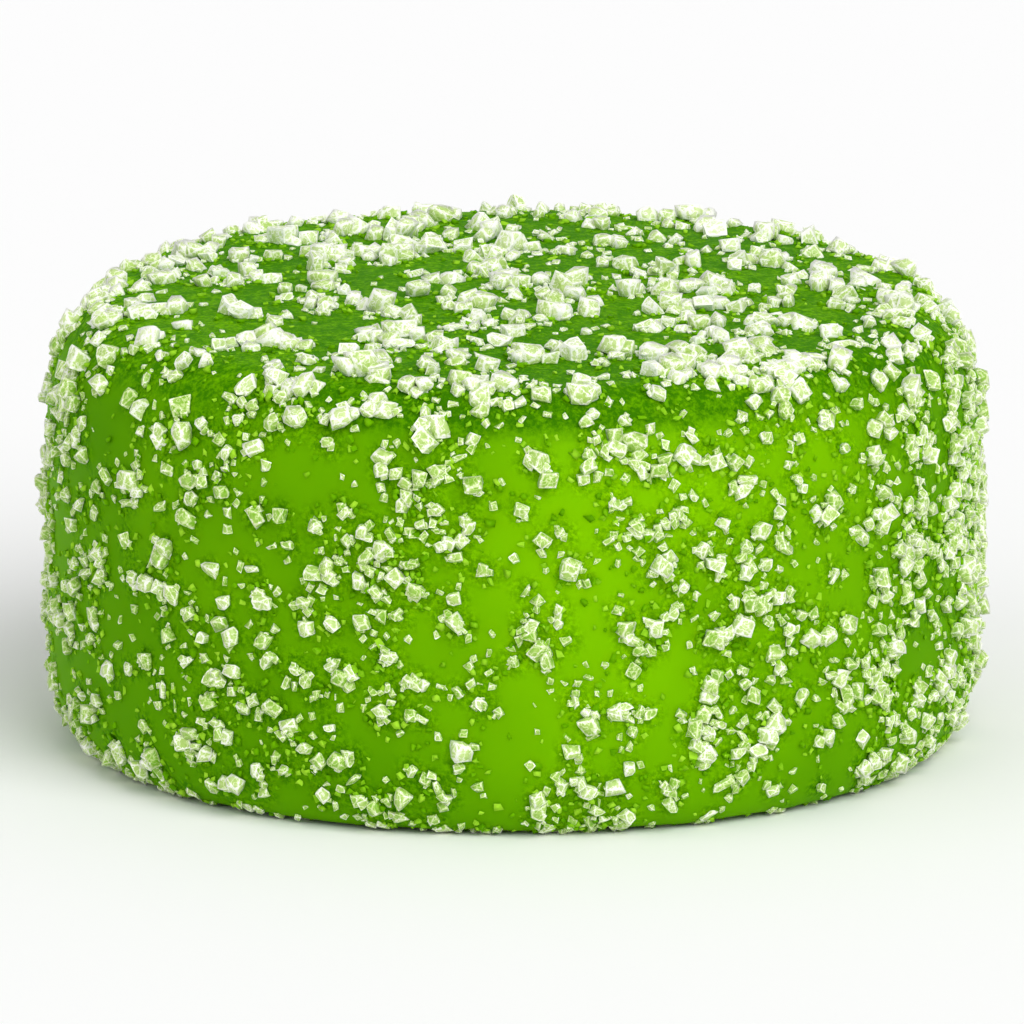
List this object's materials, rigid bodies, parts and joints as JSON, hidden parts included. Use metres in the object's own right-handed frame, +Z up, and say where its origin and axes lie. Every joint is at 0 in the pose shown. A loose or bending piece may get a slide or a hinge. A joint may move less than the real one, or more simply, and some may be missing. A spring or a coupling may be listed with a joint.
{
  "type": "round sugar-coated jelly sweet",
  "caption": "Short round green jelly sweet with rounded edges, coated all over in coarse sugar crystals, standing on its flat base.",
  "frame": {"origin": "centre of the flat base, on the surface that the sweet stands on", "axes": "+Z up along the axis of the round, -Y towards the viewer of the picture, +X to the viewer's right"},
  "size_m": [0.0261, 0.0259, 0.0128],
  "materials": {
    "green_jelly": "translucent saturated green jelly with a soft satin skin",
    "white_sugar": "coarse pale sugar crystals, white at their edges and tinted by the jelly within"
  },
  "bodies": {
    "root": {"sugared_jelly": "green_jelly"}
  },
  "joints": []
}
